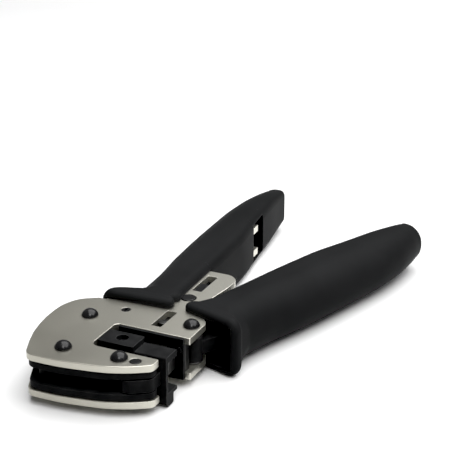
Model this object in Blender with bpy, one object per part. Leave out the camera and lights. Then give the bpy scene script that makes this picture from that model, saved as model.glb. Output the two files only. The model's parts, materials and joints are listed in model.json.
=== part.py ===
"""Hand crimping tool for RJ45 plugs: a riveted plate head, two moulded handles and a guided ram.

Tool coordinates, used by every function below: X runs across the head, Y runs along the ram from
the nose to the handles, Z runs through the plates. The ram's centre line is X = 0, the face that
the plug rests on is Y = 0, and the plates' mid plane is Z = 0. Everything hangs on one empty that
puts the part's origin on that plug seat. The pose is the open, relaxed tool.
"""
from math import atan2, cos, pi, radians, sin, tan

import bmesh
import bpy
from mathutils import Matrix, Vector

MM = 0.001

# ---- plate stack, through the thickness
HEAD_THICKNESS = 18.0 * MM
CHEEK_THICKNESS = 2.9 * MM
INNER_PLATE_THICKNESS = 2.75 * MM
GAP = 0.25 * MM
CHEEK_OUTER = HEAD_THICKNESS / 2
CHEEK_INNER = CHEEK_OUTER - CHEEK_THICKNESS
INNER_OUTER = CHEEK_INNER - GAP
INNER_INNER = INNER_OUTER - INNER_PLATE_THICKNESS
CORE_HALF = INNER_INNER - GAP
BETWEEN_CHEEKS_HALF = CHEEK_INNER - GAP

# ---- throat of the head: the opening that holds the nest and the anvil
THROAT_HALF_WIDTH = 15.2 * MM
THROAT_FRONT = -3.0 * MM
THROAT_BACK = 17.0 * MM
HEAD_RIGHT = 17.0 * MM
NECK_RIGHT = 10.6 * MM
NECK_END = 77.8 * MM
HEAD_LEFT = -43.6 * MM
NOSE = -19.8 * MM

# ---- slots in the plates, on the ram's centre line
SLOT_WIDTH = 4.3 * MM
RAM_SLOT = (21.3 * MM, 35.6 * MM)
RELEASE_SLOT = (57.2 * MM, 73.0 * MM)

# ---- pins and rivets: centre in the plane, shank radius
DOME_RADIUS = 3.4 * MM
DOME_HEIGHT = 2.1 * MM
RIVET_RADIUS = 2.0 * MM
NOSE_RIVETS = {
    "rivet_nose_left": (-23.2 * MM, -9.6 * MM),
    "rivet_head_left": (-28.2 * MM, 18.8 * MM),
    "rivet_anvil": (0.3 * MM, -8.4 * MM),
}
NEST_PIN = (6.9 * MM, -7.9 * MM)
NEST_PIN_RADIUS = 2.1 * MM
PIVOT = (12.6 * MM, 27.3 * MM)
PIVOT_RADIUS = 2.6 * MM
HUB_RADIUS = 4.4 * MM
HUB_HALF = 5.0 * MM
PAWL_PIVOT = (0.0, 49.8 * MM)
PAWL_PIN_RADIUS = 2.2 * MM
PAWL_PIN_HEAD = 3.1 * MM
ADJUSTER = (-17.8 * MM, 29.4 * MM)
ADJUSTER_RADIUS = 1.75 * MM
ADJUSTER_ECCENTRICITY = 0.4 * MM
ADJUSTER_WAIST_RADIUS = 1.6 * MM

# ---- ram and dies
RAM_PIN = (0.0, PIVOT[1])
RAM_PIN_RADIUS = 1.95 * MM
RAM_HEAD_TOP = 21.4 * MM
RAM_TOP = 38.6 * MM
DIE_PLATE = (15.5 * MM, 16.7 * MM)
PUNCH_TIP = 9.0 * MM
DIE_SCREW_RADIUS = 1.1 * MM
DIE_SCREWS = {"die_screw_left": (-11.0 * MM, 4.3 * MM), "die_screw_right": (13.1 * MM, 4.3 * MM)}

# ---- the plug and its nest
PLUG_WIDTH = 11.7 * MM
NEST_LEFT = 2.9 * MM
NEST_RIGHT = 16.3 * MM
NEST_WALL = 1.4 * MM
NEST_BACK = 7.4 * MM
NEST_HALF_OPENING = PLUG_WIDTH / 2 + 0.45 * MM
NEST_BOTTOM = -11.9 * MM
SEAT_DATUM_X = 8.6 * MM

# ---- handles: the same moulding twice, mirrored, each along its own axis
# each finger guard has its own inner and outer end, and each grip its own length
FIXED_HANDLE = {"origin": (-3.8 * MM, 36.5 * MM), "angle": radians(-2.3), "side": -1,
                "guard": (-2.4 * MM, 29.2 * MM), "stretch": 1.038}
MOVING_HANDLE = {"origin": (7.9 * MM, 36.5 * MM), "angle": radians(17.1), "side": 1,
                 "guard": (-4.6 * MM, 23.2 * MM), "stretch": 0.972}
# millimetres: along the handle, inset of the guard's ends, half height, reach of the outer rounding
GUARD_STATIONS = [
    (0.0, 1.3, 11.3, 4.5),
    (0.5, 0.5, 12.0, 5.0),
    (1.6, 0.0, 12.5, 5.2),
    (4.2, 0.0, 12.5, 5.2),
    (5.8, 1.4, 12.5, 6.5),
]
# millimetres: along the handle, inner face, outer face, half height, reach of the outer rounding
GRIP_START = 14.0
GRIP_STATIONS = [
    (8.6, -2.4, 20.6, 12.5, 9.0),
    (14.0, -1.8, 19.8, 12.5, 12.0),
    (28.0, -1.9, 19.9, 12.5, 12.5),
    (50.0, -2.2, 21.5, 12.5, 13.0),
    (75.0, -1.9, 22.2, 12.4, 13.5),
    (100.0, 0.3, 22.2, 12.0, 13.5),
    (118.0, 1.6, 20.9, 11.3, 12.5),
    (132.0, 2.9, 18.2, 10.1, 10.5),
    (140.0, 3.4, 15.8, 8.7, 8.0),
    (142.6, 4.2, 14.6, 7.5, 6.5),
    (143.8, 6.2, 12.4, 5.0, 2.9),
]
HANDLE_INNER_SHARE = 0.34
TANG_INNER = 1.6 * MM
TANG_OUTER = 13.2 * MM
TANG_END = 92.5 * MM
LEVER_END = 110.0 * MM
FIXED_STRADDLE = 42.0 * MM
MOVING_STRADDLE = 46.0 * MM
GUARD_WALL = 2.6 * MM
GUARD_ROOM_OUT = FIXED_HANDLE["guard"][1] - GUARD_WALL
WINDOW = (94.6 * MM, 109.9 * MM)
PRONG = (4.1 * MM, 7.2 * MM)
PRONG_FACE = 0.5 * MM
PRONG_END = 102.2 * MM
PRONG_DEPTH = 7.6 * MM

# ---- ratchet
RACK_TEETH = 7
RACK_TIP_RADIUS = 33.6 * MM
RACK_TOOTH_DEPTH = 1.1 * MM
RACK_OUTER_RADIUS = 38.6 * MM
RACK_START = radians(96.0)
RACK_TOOTH_PITCH = radians(2.6)
PAWL_LENGTH = 7.3 * MM
PAWL_TAIL = 4.4 * MM
PAWL_SPRING_POST = 9.6 * MM
PAWL_POST_RADIUS = 0.8 * MM
RACK_RIVET_RADIUS = 0.8 * MM

# ---- springs
SPRING_WIRE = 0.4 * MM
RETURN_SPRING_X = -10.8 * MM
SPRING_SEAT = (24.0 * MM, 26.4 * MM)
RETURN_SPRING = (26.8 * MM, 32.2 * MM)
RAM_FINGER = 36.1 * MM
RETURN_SPRING_RADIUS = 2.0 * MM

ROUND_SEGMENTS = 18
COIL_STEPS_PER_TURN = 10


# ---------------------------------------------------------------- scene and materials

def clear_scene():
    for item in list(bpy.data.objects):
        bpy.data.objects.remove(item, do_unlink=True)


def material(name, colour, roughness, metallic):
    """A Principled material, made once and shared by every piece of that finish."""
    existing = bpy.data.materials.get(name)
    if existing:
        return existing
    finish = bpy.data.materials.new(name)
    finish.use_nodes = True
    shader = finish.node_tree.nodes["Principled BSDF"]
    shader.inputs["Base Color"].default_value = (*colour, 1.0)
    shader.inputs["Roughness"].default_value = roughness
    shader.inputs["Metallic"].default_value = metallic
    return finish


def nickel_plate():
    return material("nickel_plated_steel", (0.62, 0.60, 0.54), 0.32, 1.0)


def black_steel():
    return material("black_oxide_steel", (0.030, 0.031, 0.032), 0.45, 0.6)


def polished_black():
    return material("polished_black_steel", (0.020, 0.020, 0.021), 0.18, 0.7)


def grey_steel():
    return material("hardened_grey_steel", (0.28, 0.28, 0.27), 0.38, 1.0)


def handle_plastic():
    return material("black_handle_plastic", (0.013, 0.014, 0.015), 0.42, 0.0)


def spring_steel():
    return material("spring_steel", (0.45, 0.45, 0.44), 0.30, 1.0)


def add_object(name, mesh, finish, location=(0.0, 0.0, 0.0)):
    """Link a mesh as a named object with its origin at location, in tool coordinates."""
    mesh.name = name
    mesh.materials.append(finish)
    item = bpy.data.objects.new(name, mesh)
    item.location = location
    bpy.context.collection.objects.link(item)
    return item


def finish_mesh(bm, location=(0.0, 0.0, 0.0)):
    """Turn a bmesh in tool coordinates into a mesh whose own origin is at location."""
    bmesh.ops.translate(bm, verts=bm.verts, vec=-Vector(location))
    bmesh.ops.recalc_face_normals(bm, faces=bm.faces)
    mesh = bpy.data.meshes.new("mesh")
    bm.to_mesh(mesh)
    bm.free()
    mesh.shade_smooth()
    mesh.set_sharp_from_angle(angle=radians(35))
    return mesh


# ---------------------------------------------------------------- outlines

def rounded(corners):
    """Outline points from corners (x, y, radius): each corner becomes an arc of that radius."""
    points = []
    count = len(corners)
    for index, (x, y, radius) in enumerate(corners):
        before = Vector(corners[index - 1][:2]) - Vector((x, y))
        after = Vector(corners[(index + 1) % count][:2]) - Vector((x, y))
        half_angle = before.angle(after) / 2
        reach = radius / tan(half_angle)
        if radius == 0 or reach < 0.02 * MM:
            points.append((x, y))
            continue
        start = Vector((x, y)) + before.normalized() * reach
        end = Vector((x, y)) + after.normalized() * reach
        bisector = (before.normalized() + after.normalized()).normalized()
        centre = Vector((x, y)) + bisector * (radius / sin(half_angle))
        first = atan2(start.y - centre.y, start.x - centre.x)
        last = atan2(end.y - centre.y, end.x - centre.x)
        turn = (last - first + pi) % (2 * pi) - pi
        steps = max(2, round(abs(turn) / radians(15)))
        for step in range(steps + 1):
            angle = first + turn * step / steps
            points.append((centre.x + radius * cos(angle), centre.y + radius * sin(angle)))
    return points


def circle(centre, radius, segments=ROUND_SEGMENTS):
    return [(centre[0] + radius * cos(2 * pi * i / segments),
             centre[1] + radius * sin(2 * pi * i / segments)) for i in range(segments)]


def slot(y_range, width):
    half = width / 2
    corner = 0.4 * MM
    low, high = y_range
    return rounded([(-half, low, corner), (half, low, corner), (half, high, corner), (-half, high, corner)])


def rectangle(x_range, y_range, radius=0.0):
    (x0, x1), (y0, y1) = x_range, y_range
    return rounded([(x0, y0, radius), (x1, y0, radius), (x1, y1, radius), (x0, y1, radius)])


def handle_point(handle, along, outward):
    """Tool coordinates of a point given along a handle's axis and outward from the tool's middle."""
    x0, y0 = handle["origin"]
    angle = handle["angle"]
    side = handle["side"]
    return (x0 + along * sin(angle) + side * outward * cos(angle),
            y0 + along * cos(angle) - side * outward * sin(angle))


def head_edge(inset=0.0):
    """Corners of the head's outer edge, from the right of the nose round to the left guard."""
    return [
        (14.3 * MM - inset, -8.2 * MM + inset, 3.0 * MM),
        (7.1 * MM - inset, -12.9 * MM + inset, 30 * MM),
        (-1.9 * MM, -16.7 * MM + inset, 40 * MM),
        (-20.4 * MM, NOSE + inset, 60 * MM),
        (-33.8 * MM + inset, NOSE + inset, 5 * MM),
        (-41.0 * MM + inset, -3.4 * MM, 60 * MM),
        (HEAD_LEFT + inset, 10.5 * MM, 60 * MM),
        (HEAD_LEFT + inset, 22.8 * MM, 19 * MM),
        (-40.2 * MM + inset, 30.3 * MM - inset / 2, 11 * MM),
    ]


# ---------------------------------------------------------------- solids

def add_prism(bm, outline, z_low, z_high, holes=()):
    """A flat plate with holes, added to a bmesh: the outline is filled once and extruded."""
    loops = []
    for loop in (outline, *holes):
        corners = [bm.verts.new((x, y, z_low)) for x, y in loop]
        loops.append([bm.edges.new((corners[i - 1], corners[i])) for i in range(len(corners))])
    edges = [edge for loop in loops for edge in loop]
    filled = bmesh.ops.triangle_fill(bm, use_beauty=True, edges=edges)
    faces = [item for item in filled["geom"] if isinstance(item, bmesh.types.BMFace)]
    grown = bmesh.ops.extrude_face_region(bm, geom=faces, use_keep_orig=True)
    top = [item for item in grown["geom"] if isinstance(item, bmesh.types.BMVert)]
    bmesh.ops.translate(bm, verts=top, vec=(0, 0, z_high - z_low))


def plate(name, outline, z_low, z_high, finish, holes=(), location=(0.0, 0.0, 0.0)):
    bm = bmesh.new()
    add_prism(bm, outline, z_low, z_high, holes)
    return add_object(name, finish_mesh(bm, location), finish, location)


def add_turned(bm, profile, segments=ROUND_SEGMENTS, frame=Matrix.Identity(4)):
    """A solid of revolution about Z from (radius, z) steps; the first and last radius may be 0."""
    rings = []
    for radius, z in profile:
        if radius == 0:
            rings.append([bm.verts.new(frame @ Vector((0, 0, z)))])
            continue
        step = 2 * pi / segments
        ring = [frame @ Vector((radius * cos(step * i), radius * sin(step * i), z))
                for i in range(segments)]
        rings.append([bm.verts.new(corner) for corner in ring])
    for lower, upper in zip(rings, rings[1:]):
        for i in range(segments):
            j = (i + 1) % segments
            corners = [lower[i % len(lower)], lower[j % len(lower)],
                       upper[j % len(upper)], upper[i % len(upper)]]
            unique = list(dict.fromkeys(corners))
            bm.faces.new(unique)


def turned(name, centre, profile, finish, segments=ROUND_SEGMENTS):
    """A pin, rivet or screw standing on the plates at centre, with its origin on its own axis."""
    bm = bmesh.new()
    add_turned(bm, profile, segments)
    return add_object(name, finish_mesh(bm), finish, (centre[0], centre[1], 0.0))


def cut(item, cutters):
    """Subtract simple closed shapes from an object, leaving the cuts as live modifiers."""
    for number, shape in enumerate(cutters, start=1):
        tool = add_object(f"{item.name}_cutter_{number}", shape, black_steel(), item.location)
        tool.hide_render = True
        tool.display_type = "WIRE"
        modifier = item.modifiers.new(f"cut_{number}", "BOOLEAN")
        modifier.operation = "DIFFERENCE"
        modifier.object = tool
    return item


def join(item, additions):
    """Fuse further closed shapes into an object with live union modifiers."""
    for number, shape in enumerate(additions, start=1):
        tool = add_object(f"{item.name}_addition_{number}", shape, black_steel(), item.location)
        tool.hide_render = True
        tool.display_type = "WIRE"
        modifier = item.modifiers.new(f"join_{number}", "BOOLEAN")
        modifier.operation = "UNION"
        modifier.object = tool
    return item


def prism_mesh(outline, z_low, z_high, location=(0.0, 0.0, 0.0)):
    bm = bmesh.new()
    add_prism(bm, outline, z_low, z_high)
    return finish_mesh(bm, location)


def box_mesh(x_range, y_range, z_range, location=(0.0, 0.0, 0.0)):
    return prism_mesh(rectangle(x_range, y_range), *z_range, location)


def coil_points(radius, start, end, turns):
    """Centre line of a spring wound about Y from start to end."""
    steps = round(turns * COIL_STEPS_PER_TURN)
    points = []
    for step in range(steps + 1):
        share = step / steps
        angle = 2 * pi * turns * share
        points.append(Vector((radius * cos(angle), start + (end - start) * share, radius * sin(angle))))
    return points


def swept_wire(name, points, wire_radius, finish, location, sides=5):
    """A round wire along a line of points, closed at both ends."""
    bm = bmesh.new()
    rings = []
    count = len(points)
    for index, point in enumerate(points):
        ahead = points[min(index + 1, count - 1)]
        behind = points[max(index - 1, 0)]
        direction = (ahead - behind).normalized()
        side = direction.cross(Vector((0, 1, 0))).normalized()
        up = side.cross(direction).normalized()
        ring = [point + wire_radius * (side * cos(2 * pi * k / sides) + up * sin(2 * pi * k / sides))
                for k in range(sides)]
        rings.append([bm.verts.new(corner) for corner in ring])
    for lower, upper in zip(rings, rings[1:]):
        for k in range(sides):
            j = (k + 1) % sides
            bm.faces.new((lower[k], lower[j], upper[j], upper[k]))
    bm.faces.new(list(reversed(rings[0])))
    bm.faces.new(rings[-1])
    return add_object(name, finish_mesh(bm), finish, location)


# ---------------------------------------------------------------- frame plates

def cheek_outline():
    """The nickel-plated side plate: C-shaped head, neck, and a tang inside the fixed handle."""
    tang_tip_out = handle_point(FIXED_HANDLE, TANG_END, TANG_OUTER)
    tang_tip_in = handle_point(FIXED_HANDLE, TANG_END, TANG_INNER)
    tang_root_in = handle_point(FIXED_HANDLE, NECK_END - FIXED_HANDLE["origin"][1], TANG_INNER)
    tang_root_out = handle_point(FIXED_HANDLE, 8.5 * MM, TANG_OUTER)
    return rounded([
        (HEAD_RIGHT, THROAT_BACK, 0.4 * MM),
        (HEAD_RIGHT, 35.3 * MM, 6.6 * MM),
        (6.8 * MM, 36.6 * MM, 5.0 * MM),
        (9.4 * MM, 58.0 * MM, 20.0 * MM),
        (NECK_RIGHT, 66.0 * MM, 20.0 * MM),
        (NECK_RIGHT, NECK_END, 6.6 * MM),
        (tang_root_in[0], NECK_END, 1.5 * MM),
        (*tang_tip_in, 2.0 * MM),
        (*tang_tip_out, 2.0 * MM),
        (*tang_root_out, 4.0 * MM),
        (*handle_point(FIXED_HANDLE, 2.4 * MM, GUARD_ROOM_OUT - GAP), 0.5 * MM),
        (*handle_point(FIXED_HANDLE, -0.6 * MM, GUARD_ROOM_OUT - GAP), 0.3 * MM),
        (*handle_point(FIXED_HANDLE, -0.6 * MM, GUARD_ROOM_OUT + 3.0 * MM), 0.8 * MM),
        *reversed(head_edge()),
        (14.3 * MM, THROAT_FRONT, 0.8 * MM),
        (-THROAT_HALF_WIDTH, THROAT_FRONT, 3.3 * MM),
        (-THROAT_HALF_WIDTH, THROAT_BACK, 2.0 * MM),
    ])


def plate_holes():
    """Holes that both cheeks and inner plates share: shanks of the head's rivets and the slots."""
    holes = [circle(centre, RIVET_RADIUS + GAP) for centre in NOSE_RIVETS.values()]
    holes.append(circle(NEST_PIN, NEST_PIN_RADIUS + GAP))
    holes.append(circle(ADJUSTER, ADJUSTER_RADIUS + GAP))
    holes.append(slot(RELEASE_SLOT, SLOT_WIDTH))
    return holes


def tang_rivet_centres():
    middle = (TANG_INNER + TANG_OUTER) / 2
    return [handle_point(FIXED_HANDLE, along, middle) for along in (54 * MM, 82 * MM)]


def cheeks():
    holes = plate_holes()
    holes.append(circle(PIVOT, PIVOT_RADIUS + GAP))
    holes.append(circle(PAWL_PIVOT, PAWL_PIN_HEAD + GAP))
    holes.append(slot(RAM_SLOT, SLOT_WIDTH))
    holes += [circle(centre, RIVET_RADIUS + GAP) for centre in tang_rivet_centres()]
    outline = cheek_outline()
    plate("cheek_top", outline, CHEEK_INNER, CHEEK_OUTER, nickel_plate(), holes)
    plate("cheek_bottom", outline, -CHEEK_OUTER, -CHEEK_INNER, nickel_plate(), holes)


def inner_plate_outline():
    """The black plate under each cheek: it stops at the ram's channel and at the neck's end."""
    inset = 0.6 * MM
    channel_top = RAM_TOP + 1.0 * MM
    return rounded([
        (NECK_RIGHT - inset, NECK_END - inset, 6.0 * MM),
        (-13.0 * MM, NECK_END - inset, 2.0 * MM),
        (-17.0 * MM, 44.0 * MM, 4.0 * MM),
        (*handle_point(FIXED_HANDLE, 2.0 * MM, GUARD_ROOM_OUT - 1 * MM), 1.0 * MM),
        (*handle_point(FIXED_HANDLE, -1.2 * MM, GUARD_ROOM_OUT - 1 * MM), 1.0 * MM),
        *reversed(head_edge(inset)),
        (13.7 * MM, THROAT_FRONT - inset, 0.8 * MM),
        (-THROAT_HALF_WIDTH, THROAT_FRONT - inset, 3.3 * MM),
        (-THROAT_HALF_WIDTH, channel_top, 1.0 * MM),
        (7.0 * MM, channel_top, 1.0 * MM),
        (9.0 * MM, 60.0 * MM, 20.0 * MM),
        (NECK_RIGHT - inset, 68.0 * MM, 15.0 * MM),
    ])


def inner_plates():
    holes = plate_holes()
    holes.append(circle(PAWL_PIVOT, PAWL_PIN_RADIUS + GAP))
    holes.append(circle(pawl_point(-PAWL_SPRING_POST), PAWL_POST_RADIUS + GAP, 12))
    outline = inner_plate_outline()
    plate("inner_plate_top", outline, INNER_INNER, INNER_OUTER, black_steel(), holes)
    plate("inner_plate_bottom", outline, -INNER_OUTER, -INNER_INNER, black_steel(), holes)


def head_spacer():
    """The core between the inner plates: set back round the nose, and ending at the nest's foot."""
    recess = 4.2 * MM
    outline = rounded([
        (NEST_LEFT - GAP, THROAT_FRONT - 0.6 * MM, 0.5 * MM),
        (NEST_LEFT - GAP, -14.6 * MM + recess, 0.5 * MM),
        (-1.9 * MM, -16.7 * MM + recess, 20 * MM),
        (-20.4 * MM, NOSE + recess, 40 * MM),
        (-31.4 * MM, NOSE + recess, 5 * MM),
        (HEAD_LEFT + recess, 3.5 * MM, 30 * MM),
        (HEAD_LEFT + recess, 18.9 * MM, 30 * MM),
        (-31.0 * MM, 33.0 * MM, 8 * MM),
        (-20.0 * MM, 36.0 * MM, 3 * MM),
        (-THROAT_HALF_WIDTH, 36.0 * MM, 1 * MM),
        (-THROAT_HALF_WIDTH, SPRING_SEAT[1], 0.3 * MM),
        (-7.3 * MM, SPRING_SEAT[1], 0.5 * MM),
        (-7.3 * MM, SPRING_SEAT[0], 0.5 * MM),
        (-THROAT_HALF_WIDTH, SPRING_SEAT[0], 0.3 * MM),
        (-THROAT_HALF_WIDTH, THROAT_FRONT - 0.6 * MM, 3.3 * MM),
    ])
    holes = [circle(centre, RIVET_RADIUS + GAP) for centre in NOSE_RIVETS.values()]
    holes.append(circle(ADJUSTER, ADJUSTER_WAIST_RADIUS + ADJUSTER_ECCENTRICITY + GAP))
    spacer = plate("head_spacer", outline, -CORE_HALF, CORE_HALF, black_steel(), holes)
    anvil_slot = box_mesh((-13.2 * MM, -4.8 * MM), (-9.0 * MM, 0.0), (-1.2 * CORE_HALF, 1.2 * CORE_HALF))
    cut(spacer, [anvil_slot])


def prong_outline(start, face, back):
    """Corners of a prong's part: along the fixed handle from start to the prong's end, between two depths."""
    return [handle_point(FIXED_HANDLE, along, outward) for along, outward in
            ((start, face), (PRONG_END, face), (PRONG_END, back), (start, back))]


def spacer_prong(sign):
    """One of the spacer's two ends: it passes between the tangs and steps out to show in the window."""
    low, high = sorted((sign * PRONG[0], sign * (BETWEEN_CHEEKS_HALF - 0.1 * MM)))
    stem = prong_outline(88 * MM, TANG_INNER + 0.5 * MM, PRONG_DEPTH)
    head_low, head_high = sorted((sign * PRONG[0], sign * PRONG[1]))
    head = prong_outline(WINDOW[0] + 0.5 * MM, PRONG_FACE, PRONG_DEPTH + 0.5 * MM)
    return [prism_mesh(stem, low, high), prism_mesh(head, head_low, head_high)]


def tang_spacer():
    """Holds the two tangs apart inside the fixed handle; its prongs show in the moulding's window."""
    ends = (46.0 * MM, 91.0 * MM)
    inner = TANG_INNER + 0.5 * MM
    outer = TANG_OUTER - 0.5 * MM
    corners = [handle_point(FIXED_HANDLE, ends[0], inner), handle_point(FIXED_HANDLE, ends[1], inner),
               handle_point(FIXED_HANDLE, ends[1], outer), handle_point(FIXED_HANDLE, ends[0], outer)]
    outline = rounded([(x, y, 1.0 * MM) for x, y in corners])
    holes = [circle(centre, RIVET_RADIUS + GAP) for centre in tang_rivet_centres()]
    spacer = plate("tang_spacer", outline, -BETWEEN_CHEEKS_HALF, BETWEEN_CHEEKS_HALF, nickel_plate(), holes)
    join(spacer, spacer_prong(-1) + spacer_prong(1))


# ---------------------------------------------------------------- rivets and pins

def dome_profile(shank_radius, head_radius, height, face):
    """Half of a rivet: shank, flat underside and a domed head standing on the plate's face."""
    base = face + GAP
    sphere = (head_radius ** 2 + height ** 2) / (2 * height)
    widest = atan2(head_radius, sphere - height)
    steps = 4
    dome = [(sphere * sin(widest * (steps - i) / steps),
             base + 0.5 * MM + sphere * cos(widest * (steps - i) / steps) - (sphere - height))
            for i in range(steps + 1)]
    dome[-1] = (0.0, dome[-1][1])
    return [(shank_radius, base), (head_radius, base), *dome]


def mirrored_profile(upper):
    """A profile that is the same above and below the mid plane."""
    lower = [(radius, -z) for radius, z in reversed(upper)]
    return lower + upper


def dome_rivets():
    profile = mirrored_profile(dome_profile(RIVET_RADIUS, DOME_RADIUS, DOME_HEIGHT, CHEEK_OUTER))
    for name, centre in NOSE_RIVETS.items():
        turned(name, centre, profile, polished_black())
    pivot_profile = mirrored_profile(dome_profile(PIVOT_RADIUS, DOME_RADIUS, DOME_HEIGHT, CHEEK_OUTER))
    turned("lever_pivot_pin", PIVOT, pivot_profile, polished_black())


def flush_pins():
    flush = CHEEK_OUTER + 0.1 * MM
    turned("nest_pin", NEST_PIN, mirrored_profile([(NEST_PIN_RADIUS, flush - 0.2 * MM),
                                                   (NEST_PIN_RADIUS - 0.2 * MM, flush), (0.0, flush)]),
           polished_black())
    head_base = CHEEK_INNER + 0.3 * MM
    head_top = CHEEK_OUTER + 0.35 * MM
    turned("pawl_pin", PAWL_PIVOT,
           mirrored_profile([(PAWL_PIN_RADIUS, head_base), (PAWL_PIN_HEAD, head_base),
                             (PAWL_PIN_HEAD, head_top - 0.25 * MM), (PAWL_PIN_HEAD - 0.3 * MM, head_top),
                             (0.0, head_top)]), polished_black())
    for number, centre in enumerate(tang_rivet_centres(), start=1):
        end = CHEEK_OUTER
        half_profile = [(RIVET_RADIUS, end - 0.3 * MM), (RIVET_RADIUS - 0.3 * MM, end), (0.0, end)]
        turned(f"tang_rivet_{number}", centre, mirrored_profile(half_profile), grey_steel())


def adjuster():
    """Cross-slotted screw whose eccentric waist sets where the ram comes to rest."""
    top = CHEEK_OUTER - 0.1 * MM
    profile = [(0.0, -top), (ADJUSTER_RADIUS, -top), (ADJUSTER_RADIUS, top), (0.0, top)]
    shank = turned("depth_adjuster", ADJUSTER, profile, polished_black())
    waist = bmesh.new()
    offset = Matrix.Translation((ADJUSTER_ECCENTRICITY, 0, 0))
    half = CORE_HALF - 0.1 * MM
    radius = ADJUSTER_WAIST_RADIUS
    add_turned(waist, [(0.0, -half), (radius, -half), (radius, half), (0.0, half)], frame=offset)
    join(shank, [finish_mesh(waist)])
    deep = top - 0.9 * MM
    long, short = 1.3 * MM, 0.32 * MM
    slots = []
    for reach_x, reach_y in ((long, short), (short, long)):
        slots.append(box_mesh((-reach_x, reach_x), (-reach_y, reach_y), (deep, top + 1 * MM)))
    cut(shank, slots)


# ---------------------------------------------------------------- anvil, nest and their fixings

def anvil_block():
    """Fixed block at the closed end of the throat; the plug's nose stops against its right face."""
    top = CHEEK_OUTER - 0.1 * MM
    outline = rounded([(-THROAT_HALF_WIDTH + GAP, 1.7 * MM, 0.5 * MM), (0.5 * MM, 1.7 * MM, 0.5 * MM),
                       (0.5 * MM, 11.6 * MM, 0.8 * MM), (-THROAT_HALF_WIDTH + GAP, 11.6 * MM, 0.5 * MM)])
    block = plate("anvil_block", outline, -top, top, black_steel())
    bore = bmesh.new()
    frame = Matrix.Translation((-7.0 * MM, 7.2 * MM, 0.0))
    add_turned(bore, [(0.0, -12 * MM), (1.7 * MM, -12 * MM), (1.7 * MM, 4.5 * MM), (2.5 * MM, 4.5 * MM),
                      (2.5 * MM, 12 * MM), (0.0, 12 * MM)], frame=frame)
    half = CORE_HALF - GAP
    join(block, [box_mesh((-13.0 * MM, -5.0 * MM), (-8.7 * MM, 2.5 * MM), (-half, half))])
    cut(block, [finish_mesh(bore)])


def anvil_screw():
    """Socket screw sunk in the anvil block."""
    head_low, head_top = 4.8 * MM, 7.4 * MM
    screw = turned("anvil_screw", (-7.0 * MM, 7.2 * MM),
                   [(0.0, -8.2 * MM), (1.4 * MM, -8.2 * MM), (1.4 * MM, head_low), (2.2 * MM, head_low),
                    (2.2 * MM, head_top), (0.0, head_top)], polished_black())
    cut(screw, [prism_mesh(circle((0.0, 0.0), 1.1 * MM, 6), head_top - 1.3 * MM, head_top + 1 * MM)])


def plug_nest():
    """Open box that holds the plug: seat at the front, a wall each side, open right and back."""
    top = CHEEK_OUTER
    front = -NEST_WALL
    profile = rounded([
        (front, NEST_BOTTOM + 1.2 * MM, 0.6 * MM),
        (front + 1.5 * MM, NEST_BOTTOM, 0.6 * MM),
        (4.2 * MM, NEST_BOTTOM, 0.6 * MM),
        (4.2 * MM, -NEST_HALF_OPENING - 1.6 * MM, 0.4 * MM),
        (NEST_BACK, -NEST_HALF_OPENING - 1.6 * MM, 0.6 * MM),
        (NEST_BACK, -NEST_HALF_OPENING, 0.3 * MM),
        (0.0, -NEST_HALF_OPENING, 0.2 * MM),
        (0.0, NEST_HALF_OPENING, 0.2 * MM),
        (NEST_BACK, NEST_HALF_OPENING, 0.3 * MM),
        (NEST_BACK, top, 0.5 * MM),
        (front, top, 0.5 * MM),
    ])
    bm = bmesh.new()
    add_prism(bm, profile, NEST_LEFT, NEST_RIGHT)
    cyclic = Matrix(((0, 0, 1, 0), (1, 0, 0, 0), (0, 1, 0, 0), (0, 0, 0, 1)))
    bmesh.ops.transform(bm, matrix=cyclic, verts=bm.verts)
    nest = add_object("plug_nest", finish_mesh(bm), black_steel())
    foot = rounded([(NEST_LEFT, front + 0.5 * MM, 0.0), (13.6 * MM, front + 0.5 * MM, 0.0),
                    (13.6 * MM, -7.9 * MM, 3.0 * MM), (6.6 * MM, -12.4 * MM, 2.0 * MM),
                    (NEST_LEFT, -12.8 * MM, 1.0 * MM)])
    join(nest, [prism_mesh(foot, -CORE_HALF + GAP, CORE_HALF - GAP)])
    pin_hole = bmesh.new()
    add_turned(pin_hole, [(0.0, -5 * MM), (NEST_PIN_RADIUS + GAP, -5 * MM), (NEST_PIN_RADIUS + GAP, 5 * MM),
                          (0.0, 5 * MM)], frame=Matrix.Translation((*NEST_PIN, 0.0)))
    lead_in = box_mesh((NEST_LEFT - 1 * MM, NEST_LEFT + 8 * MM), (-3 * MM, 8 * MM),
                       (NEST_BOTTOM - 1 * MM, -CHEEK_OUTER + 0.6 * MM))
    cut(nest, [finish_mesh(pin_hole), lead_in])


def nest_dowel():
    """Short upright dowel between the nest and the jaw's edge."""
    top = CHEEK_OUTER - 0.3 * MM
    turned("nest_dowel", (8.0 * MM, -2.3 * MM),
           [(0.0, CORE_HALF + GAP), (0.6 * MM, CORE_HALF + GAP), (0.6 * MM, top), (0.0, top)],
           polished_black(), 16)


# ---------------------------------------------------------------- ram

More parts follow.
